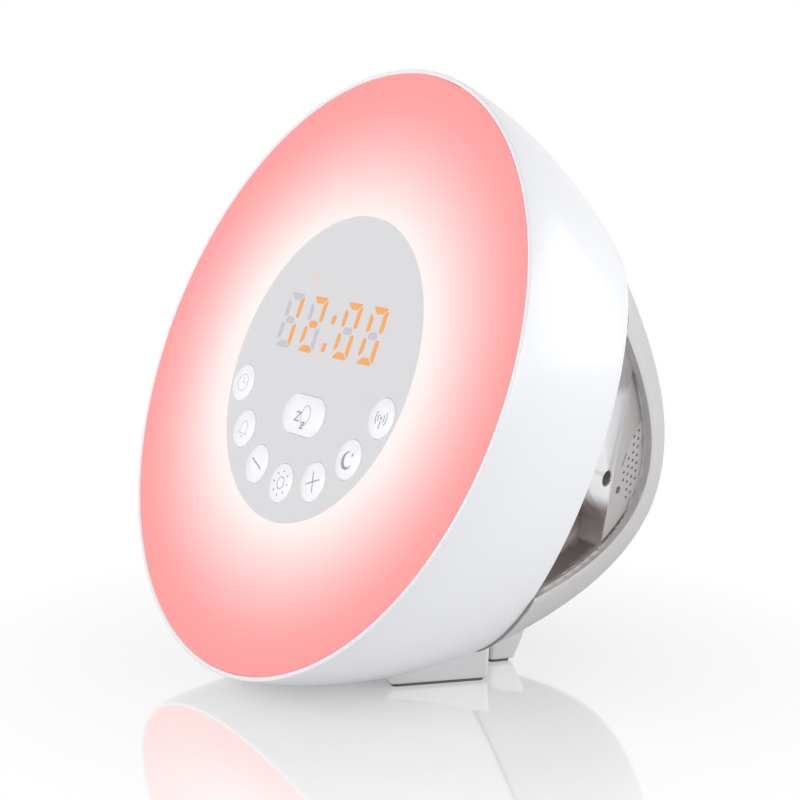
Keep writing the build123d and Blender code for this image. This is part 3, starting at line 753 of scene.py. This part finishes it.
# The grid of sound holes on the right plate, in millimetres: its origin from the socket's middle, towards
# the back and up, and the middle of the field from that origin
GRID_FROM_SOCKET = (33.8, 10.8)
GRID_SLANT = math.radians(-0.75)
FIELD_MIDDLE = (-14.0, -2.8)


def plate_matrix():
    """Place of the right plate's hole pattern: its grid's origin, its two directions and the way out."""
    out = -joint_axis("reset_press").normalized()
    back = -(face.to_3x3() @ Vector((0, 0, 1)))
    across = (back - out * back.dot(out)).normalized()
    low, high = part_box("socket_pin")
    plane = Matrix((across, out.cross(across), out)).transposed().to_4x4()
    origin = Matrix.Translation((*(length * MM for length in GRID_FROM_SOCKET), 0))
    return Matrix.Translation((low + high) / 2) @ plane @ origin @ Matrix.Rotation(GRID_SLANT, 4, "Z")


def hole_spots(mesh, place, sizes):
    """Grid places where the plate is whole all round, so that a hole fits."""
    plate = BVHTree.FromPolygons([v.co for v in mesh.vertices], [p.vertices for p in mesh.polygons])
    out = (place.to_3x3() @ Vector((0, 0, 1))).normalized()
    lift, sight, rays = 1 * MM, 1.3 * MM, 12
    level = max(v.co.dot(out) for v in mesh.vertices) + lift
    ring = [Vector((math.cos(turn), math.sin(turn))) * sizes.margin for turn in
            (math.tau * step / rays for step in range(rays))]

    def covered(flat):
        """Whether the plate lies right under a place of the grid."""
        start = place @ Vector((*flat, 0))
        start += out * (level - start.dot(out))
        return plate.ray_cast(start, -out, sight)[0] is not None

    middle = Vector(FIELD_MIDDLE) * MM
    reach = 2 * math.ceil((middle.length + sizes.field) / sizes.pitch)
    spots = []
    for row in range(-reach, reach):
        for column in range(-reach, reach):
            flat = Vector((column + row % 2 / 2, row * math.sqrt(3) / 2)) * sizes.pitch
            inside = (flat - middle).length <= sizes.field
            if inside and all(covered(flat + offset) for offset in [Vector((0, 0))] + ring):
                spots.append((flat.x, flat.y, 0))
    return spots


def post_tree(sizes):
    """Geometry nodes that set a round post on every given point."""
    sides, depth = 14, 12 * MM
    kinds = {"Geometry": "Geometry", "Hole Radius": "Float", "Hole Depth": "Float", "Finish": "Material"}
    tree, at = node_group("Sound holes", kinds)
    post = {"Vertices": sides, "Radius": at["Hole Radius"], "Depth": at["Hole Depth"]}
    cylinder = tree.add("GeometryNodeMeshCylinder", None, post)
    posts = tree.add("GeometryNodeInstanceOnPoints", None, {"Points": at["Geometry"], "Instance": cylinder})
    values = {"Hole Radius": sizes.radius, "Hole Depth": depth, "Finish": material("plate_grey")}
    return close_tree(tree, posts, at["Finish"]), values


def perforated(side, group, values):
    """A side plate's mesh with its field of sound holes cut through."""
    node = "side_grille_" + side
    mesh = merged_copy(node)
    place = plate_matrix()
    if side == "left":
        place = Matrix.Diagonal((-1, 1, 1, 1)) @ place
    start = bpy.data.meshes.new(node + "_spots")
    start.from_pydata(hole_spots(mesh, place, settings().holes), [], [])
    posts = linked(node + "_posts", turned_outwards(made_by_nodes(node, group, values, place, start)))
    plate = linked(node + "_plate", mesh)
    cut = plate.modifiers.new("holes", "BOOLEAN")
    cut.object, cut.operation, cut.solver = posts, "DIFFERENCE", "EXACT"
    cut_mesh = baked(plate)
    bpy.data.objects.remove(posts)
    if len(cut_mesh.polygons) <= len(mesh.polygons):
        raise RuntimeError("no holes were cut in the plate on the " + side)
    cut_mesh.set_sharp_from_angle(angle=SHARP_ANGLE)
    return cut_mesh


class CLOCK_OT_rear(bpy.types.Operator):
    """Dress the rear casing, its side plates and the back door"""

    bl_idname = "clock.rear"
    bl_label = "Rear casing"

    def execute(self, context):
        shell = merged_copy("rear_shell")
        mark_sunk_faces(shell)
        piece("shown_rear_shell", shell, CASING, "casing_grey", ["rear_shell"])
        dressed("back_door", "casing_grey")
        group, values = post_tree(settings().holes)
        for side in ("left", "right"):
            node = "side_grille_" + side
            mesh = perforated(side, group, values)
            piece("shown_" + node, mesh, CASING, "plate_grey", [node])
        return {"FINISHED"}


class CLOCK_OT_face(bpy.types.Operator):
    """Dress the glowing face and the display window"""

    bl_idname = "clock.face"
    bl_label = "Glowing face"

    def execute(self, context):
        dressed("diffuser", "opal_glow")
        dressed("display_panel", "window_grey")
        return {"FINISHED"}


SEGMENTS = {
    "0": "abcdef", "1": "bc", "2": "abged", "3": "abgcd", "4": "fgbc",
    "5": "afgcd", "6": "afgedc", "7": "abc", "8": "abcdefg", "9": "abcdfg",
}


# How the segments' ends are cut. REACH and SHORT are shares of the half width, HALF, END and SIDE_BLUNT of
# the stroke, and START of the gap. TIP, CAP_BLUNT and the two REACHES are in millimetres.
BAR_REACH, BAR_HALF, BAR_TIP = 0.56, 0.53, 0.7
CAP_SHORT, CAP_BLUNT = 0.36, 0.35
SIDE_START, SIDE_END, SIDE_BLUNT = 3, 0.7, 0.3
RIGHT_REACHES, LEFT_REACHES = 0.85, -0.5


def segment_outline(letter, sizes):
    """Outline of one segment of a digit about the digit's middle, anticlockwise, in millimetres."""
    side, top, stroke, gap = (value / MM / share for value, share in (
        (sizes.width, 2), (sizes.height, 2), (sizes.stroke, 1), (sizes.gap, 1)
    ))
    if letter == "g":
        reach, tip, half = side * BAR_REACH, BAR_TIP, stroke * BAR_HALF
        return [(-reach, 0), (tip - reach, -half), (reach - tip, -half),
                (reach, 0), (reach - tip, half), (tip - reach, half)]
    if letter in "ad":
        short, long, blunt = side * CAP_SHORT, side - 2 * gap, CAP_BLUNT
        outline = [(-short, top - stroke), (short, top - stroke), (long, top - blunt),
                   (long - blunt, top), (blunt - long, top), (-long, top - blunt)]
        return outline if letter == "a" else [(x, -y) for x, y in outline[::-1]]
    width = (sizes.right_stroke if letter in "bc" else sizes.left_stroke) / MM
    reaches = RIGHT_REACHES if letter in "bc" else LEFT_REACHES
    low, high = SIDE_START * gap, top - gap - SIDE_END * stroke + reaches
    blunt = width * SIDE_BLUNT
    outline = [(side - width, low + blunt), (side - width + blunt, low), (side - blunt, low),
               (side, low + blunt), (side, high - blunt / 2), (side - blunt, high),
               (side - width, high - 2 * blunt)]
    across = -1 if letter in "ef" else 1
    upward = -1 if letter in "ec" else 1
    points = [(x * across, y * upward) for x, y in outline]
    return points if across * upward > 0 else points[::-1]


# Colon dots from the digits' middle, and the faint mark above the digits, in millimetres
DOT_SIZE, DOT_PLACES = (1.95, 2.45), ((0.5, 2.3), (0.0, -5.7))
FAINT_BARS, FAINT_SIZE, FAINT_PITCH, FAINT_PLACE = 3, (0.7, 2.0), 1.35, (-18.0, 25.85)


class CLOCK_OT_digits(bpy.types.Operator):
    """Draw the lit and unlit segments of the display"""

    bl_idname = "clock.digits"
    bl_label = "Digits"

    def execute(self, context):
        sizes = settings().display
        front = -face_box("display_panel")[1].z - sizes.print_height / MM
        back = front + 2 * sizes.print_height / MM
        lit, unlit, faint = (Drawing(front, back) for _ in range(3))
        middle, rise = sizes.shift / MM, sizes.rise / MM
        inner, pitch = sizes.spread / MM / 2, sizes.pitch / MM
        places = (middle - inner - pitch, middle - inner, middle + inner, middle + inner + pitch)
        for across, digit in zip(places, sizes.time):
            for letter in "abcdefg":
                drawing = lit if letter in SEGMENTS[digit] else unlit
                drawing.shape(segment_outline(letter, sizes), at=(across, rise))
        for across, up in DOT_PLACES:
            lit.shape(rectangle(*DOT_SIZE), at=(middle + across, rise + up))
        for bar in range(FAINT_BARS):
            faint.shape(rectangle(*FAINT_SIZE), at=(FAINT_PLACE[0] + FAINT_PITCH * bar, FAINT_PLACE[1]))
        for name, drawing, finish in (
            ("faint_mark", faint, "faint_segment"), ("lit_digits", lit, "lit_segment"),
            ("unlit_digits", unlit, "unlit_segment"),
        ):
            piece(name, drawing.mesh(name), CASING, finish)
        return {"FINISHED"}


PALE_MARKS = ("clock", "alarm")


def grown(node, amount):
    """A copy of a key, a little larger across the face, so that it fills most of its gap."""
    mesh = merged_copy(node)
    low, high = face_box(node)
    middle = (low + high) / 2
    stretch = [1 + 2 * amount / MM / (high[axis] - low[axis]) for axis in (0, 1)] + [1]
    about = face @ Matrix.Scale(MM, 4) @ Matrix.Translation(middle)
    mesh.transform(about @ Matrix.Diagonal((*stretch, 1)) @ about.inverted())
    return mesh


def key_middle(name):
    low, high = face_box("key_" + name)
    return (low.x + high.x) / 2, (low.y + high.y) / 2


class CLOCK_OT_keys(bpy.types.Operator):
    """Dress the keys and print their marks"""

    bl_idname = "clock.keys"
    bl_label = "Keys"

    def execute(self, context):
        sizes = settings().keys
        thickness = settings().display.print_height / MM
        thin, bold = sizes.thin / MM, sizes.bold / MM
        for name in KEY_NAMES:
            node = "key_" + name
            piece("shown_" + node, grown(node, sizes.growth), node, "cap_white", [node])
            top = -face_box(node)[1].z
            drawing = Drawing(top - thickness, top + thickness)
            DRAWN[name](drawing, key_middle(name), thin, bold)
            print_finish = "key_print_pale" if name in PALE_MARKS else "key_print"
            piece("mark_" + name, drawing.mesh("mark_" + name), node, print_finish)
        return {"FINISHED"}


# The keys' marks, in millimetres from the middle of the key


def draw_clock(drawing, at, thin, bold):
    radius, up_hand, side_hand = 2.5, 1.6, 1.2
    drawing.line(circle(radius, 48), thin, at, closed=True)
    drawing.line([(0, up_hand), (0, 0), (side_hand, 0)], thin, at)


def draw_bell(drawing, at, thin, bold):
    dome_radius, dome_rise, clapper_radius, clapper_drop = 1.5, 0.7, 0.7, -1.75
    dome = shifted(arc(dome_radius, 0, 180, 20), 0, dome_rise)
    skirt = [(-1.6, -0.6), (-2.3, -1.5), (2.3, -1.5), (1.6, -0.6)]
    drawing.line(dome + skirt, thin, at, closed=True)
    drawing.line(shifted(arc(clapper_radius, 200, 340, 10), 0, clapper_drop), thin, at)


def draw_minus(drawing, at, thin, bold):
    half, slope = 3.05, -23
    drawing.line(turned([(-half, 0), (half, 0)], slope), bold, at)


def draw_plus(drawing, at, thin, bold):
    half, side, slope = 3.0, thin * 0.7, 22
    corners = []
    for turn in range(4):
        spin = Matrix.Rotation(math.radians(90 * turn), 2)
        corners += [spin @ Vector(corner) for corner in ((half, -side), (half, side), (side, side))]
    drawing.shape(turned(corners, slope), at)


def draw_sun(drawing, at, thin, bold):
    radius, ray_start, ray_end = 1.65, 3.0, 3.65
    rays = settings().keys.rays
    drawing.line(circle(radius, 32), thin, at, closed=True)
    for ray in range(rays):
        turn = 2 * math.pi * ray / rays
        way = Vector((math.cos(turn), math.sin(turn)))
        drawing.line([tuple(way * ray_start), tuple(way * ray_end)], bold, at)


def draw_moon(drawing, at, thin, bold):
    radius, tip, facing, shift, moon_place = 2.5, 45, 30, 0.7, (-0.3, -0.35)
    corner = Vector((radius * math.cos(math.radians(tip)) - shift, radius * math.sin(math.radians(tip))))
    bend = math.degrees(math.atan2(corner.y, corner.x))
    hollow = shifted(arc(corner.length, -bend, bend - 360, 30)[1:-1], shift)
    crescent = turned(arc(radius, tip, 360 - tip, 40) + hollow, facing)
    drawing.shape(shifted(crescent, *moon_place), at)
    star_place, outer, inner = (1.35, 1.45), 0.62, 0.26
    star = []
    for point in range(10):
        size = outer if point % 2 == 0 else inner
        turn = math.radians(90 + 36 * point)
        star.append((star_place[0] + size * math.cos(turn), star_place[1] + size * math.sin(turn)))
    drawing.shape(star, at)


def draw_waves(drawing, at, thin, bold):
    dot, wave_radii, half_turn, line = 0.42, (1.35, 2.45), 42, thin * 1.2
    mast_top, mast_foot = -0.75, -2.9
    drawing.shape(circle(dot, 20), at)
    for radius in wave_radii:
        for middle in (0, 180):
            drawing.line(arc(radius, middle - half_turn, middle + half_turn, 16), line, at)
    drawing.line([(0, mast_top), (0, mast_foot)], line, at)


def draw_sleep(drawing, at, thin, bold):
    radius, tall, across, line = 2.1, 1.35, 1.2, thin * 0.7
    drawing.line(shifted(circle(radius, 48, tall), across), line, at, closed=True)
    for size, *place in ((1.2, -2.3, -0.65), (0.8, 1.1, -2.8)):
        corners = [(-size, size), (size, size), (-size, -size), (size, -size)]
        drawing.line(shifted(corners, *place), bold, at)


DRAWN = {
    "clock": draw_clock, "alarm": draw_bell, "minus": draw_minus, "sunrise": draw_sun,
    "plus": draw_plus, "moon": draw_moon, "radio": draw_waves, "snooze": draw_sleep,
}


class CLOCK_OT_feet(bpy.types.Operator):
    """Dress the four feet and their pads"""

    bl_idname = "clock.feet"
    bl_label = "Feet"

    def execute(self, context):
        for end in ("front", "rear"):
            for side in ("left", "right"):
                foot = f"{end}_foot_{side}"
                mesh = softened(foot, voxel=0.3 * MM, passes=8)
                piece("shown_" + foot, mesh, CASING, "foot_plastic", [foot])
                dressed(f"{end}_pad_{side}", "dark_rubber")
        return {"FINISHED"}


INNER_FINISHES = {
    "reflector": "chamber_white", "light_board": "board_green", "face_board": "board_green",
    "main_board": "board_green", "power_board": "board_green", "lamps": "amber_lens",
    "digit_block": "black_plastic", "key_switches": "black_plastic", "reset_switch": "black_plastic",
    "chips": "black_plastic", "cell_tray": "black_plastic", "board_screws": "zinc",
    "cells": "blue_sleeve", "cell_springs": "nickel", "cell_contacts": "nickel",
    "speaker_frame": "dark_metal", "speaker_magnet": "zinc", "speaker_cone": "black_paper",
}


class CLOCK_OT_insides(bpy.types.Operator):
    """Give the inner pieces their finish, and dress the small ones that show"""

    bl_idname = "clock.insides"
    bl_label = "Inner pieces"

    def execute(self, context):
        finishes = dict(INNER_FINISHES)
        finishes.update({"plunger_" + name: "black_plastic" for name in KEY_NAMES})
        for node, finish in finishes.items():
            mesh = frame["nodes"][node].data
            mesh.materials.clear()
            mesh.materials.append(material(finish))
        dressed("power_socket", "socket_brown")
        dressed("socket_pin", "nickel")
        dressed("casing_screws", "zinc")
        dressed("reset_button", "plate_grey")
        return {"FINISHED"}


# Place, size and power of each soft light
LIGHTS = {
    "side_softbox": ((1.0, 0.45, 0.27), (0.7, 0.5), 4.8),
    "rear_softbox": ((0.35, 1.1, 0.3), (0.9, 0.55), 2.6),
    "front_softbox": ((-0.1, -1.1, 0.5), (0.7, 0.7), 7.0),
}


def add_light(name, place, size, power):
    """A soft light that looks at the middle of the face."""
    lamp = bpy.data.lights.new(name, "AREA")
    lamp.shape = "RECTANGLE"
    lamp.size, lamp.size_y = size
    lamp.energy = power
    made = linked(name, lamp)
    made.location = place
    made.rotation_euler = (face.translation - Vector(place)).to_track_quat("-Z", "Y").to_euler()


class CLOCK_OT_stage(bpy.types.Operator):
    """Add the floor, the soft lights and the camera"""

    bl_idname = "clock.stage"
    bl_label = "Stage"

    def execute(self, context):
        self.add_floor()
        self.add_world()
        for name, looks in LIGHTS.items():
            add_light(name, *looks)
        self.add_camera()
        bpy.context.scene.view_settings.view_transform = "Standard"
        return {"FINISHED"}

    def add_camera(self):
        """The camera looks at the middle of the face, which lies up and left of the middle of the picture."""
        azimuth, elevation = math.radians(58.56), math.radians(8.21)
        distance, focal_pixels, picture = 0.527, 1940.0, 800.0
        centre_x, centre_y = 311.6, 366.8
        level = math.cos(elevation)
        toward = Vector((math.sin(azimuth) * level, -math.cos(azimuth) * level, math.sin(elevation)))
        data = bpy.data.cameras.new("camera")
        data.sensor_width = 36.0
        data.lens = focal_pixels / picture * data.sensor_width
        data.shift_x = (picture / 2 - centre_x) / picture
        data.shift_y = -(picture / 2 - centre_y) / picture
        data.clip_start, data.clip_end = 0.01, 20
        camera = linked("camera", data)
        camera.location = face.translation + toward * distance
        camera.rotation_mode = "QUATERNION"
        camera.rotation_quaternion = (-toward).to_track_quat("-Z", "Y")
        bpy.context.scene.camera = camera

    def add_floor(self):
        """A wide pale floor that keeps a soft shadow and a faint reflection."""
        half_width, sheen_roughness = 6.0, 0.06
        fade_level, fade_from, fade_rate = 0.76, 0.08, 4
        sheen_from, sheen_width, sheen_strength = 0.09, 0.12, 0.32
        form = bmesh.new()
        bmesh.ops.create_grid(form, x_segments=2, y_segments=2, size=half_width)
        mesh = bpy.data.meshes.new("floor")
        form.to_mesh(mesh)
        form.free()
        floor = linked("floor", mesh)
        made = bpy.data.materials.new("floor_white")
        made.use_nodes = True
        made.node_tree.nodes.clear()
        tree = Tree(made.node_tree)
        seen = tree.add("ShaderNodeLightPath", output="Is Camera Ray")
        matt = tree.add("ShaderNodeBsdfDiffuse", None, {"Color": (0.9, 0.9, 0.9, 1)})
        bright = tree.add("ShaderNodeEmission", None, {"Color": WHITE, "Strength": 1.0})
        gloss = tree.add("ShaderNodeBsdfGlossy", None, {"Color": WHITE, "Roughness": sheen_roughness})
        spot = tree.add("ShaderNodeTexCoord", output="Object")
        away = tree.vector("LENGTH", spot, output="Value")
        fade = (fade_level + (away - fade_from) * fade_rate).clamped()
        pale = tree.add("ShaderNodeMixShader", None, {0: seen * fade, 1: matt, 2: bright})
        sheen = (1 - (away - sheen_from) / sheen_width).clamped() * sheen_strength * seen
        whole = tree.add("ShaderNodeMixShader", None, {0: sheen, 1: pale, 2: gloss})
        tree.node("ShaderNodeOutputMaterial", None, {0: whole})
        mesh.materials.append(made)

    def add_world(self):
        """White where it is seen, and a soft grey-blue room for everything else."""
        room_colour, room_strength = (0.96, 0.97, 1.0, 1), 0.46
        world = bpy.data.worlds.new("studio")
        bpy.context.scene.world = world
        world.use_nodes = True
        world.node_tree.nodes.clear()
        tree = Tree(world.node_tree)
        path = tree.node("ShaderNodeLightPath")
        camera, glossy, through = (
            Value(tree, path.outputs[f"Is {kind} Ray"]) for kind in ("Camera", "Glossy", "Transmission")
        )
        seen = (camera + glossy + through).clamped()
        around = tree.add("ShaderNodeBackground", None, {"Color": room_colour, "Strength": room_strength})
        white = tree.add("ShaderNodeBackground", None, {"Color": WHITE, "Strength": 1.0})
        whole = tree.add("ShaderNodeMixShader", None, {0: seen, 1: around, 2: white})
        tree.node("ShaderNodeOutputWorld", None, {0: whole})


class CLOCK_PT_panel(bpy.types.Panel):
    """Buttons for each group of pieces"""

    bl_label = "Sunrise clock"
    bl_idname = "CLOCK_PT_panel"
    bl_space_type = "VIEW_3D"
    bl_region_type = "UI"
    bl_category = "Sunrise clock"

    def draw(self, context):
        for operator in OPERATORS:
            self.layout.operator(operator.bl_idname)


GROUPS = (CasingSizes, DisplaySizes, KeySizes, SoundHoles, Finishes, ClockSettings)
OPERATORS = (
    CLOCK_OT_materials, CLOCK_OT_bowl, CLOCK_OT_rear, CLOCK_OT_face, CLOCK_OT_digits,
    CLOCK_OT_keys, CLOCK_OT_feet, CLOCK_OT_insides, CLOCK_OT_stage,
)


def register():
    for made in (*GROUPS, *OPERATORS, CLOCK_PT_panel):
        bpy.utils.register_class(made)
    bpy.types.Scene.sunrise_clock = PointerProperty(type=ClockSettings)


def unregister():
    del bpy.types.Scene.sunrise_clock
    for made in reversed((*GROUPS, *OPERATORS, CLOCK_PT_panel)):
        bpy.utils.unregister_class(made)


def main():
    register()
    bpy.ops.clock.materials()
    bpy.ops.clock.bowl()
    bpy.ops.clock.rear()
    bpy.ops.clock.face()
    bpy.ops.clock.digits()
    bpy.ops.clock.keys()
    bpy.ops.clock.feet()
    bpy.ops.clock.insides()
    bpy.ops.clock.stage()


if __name__ == "__main__":
    main()
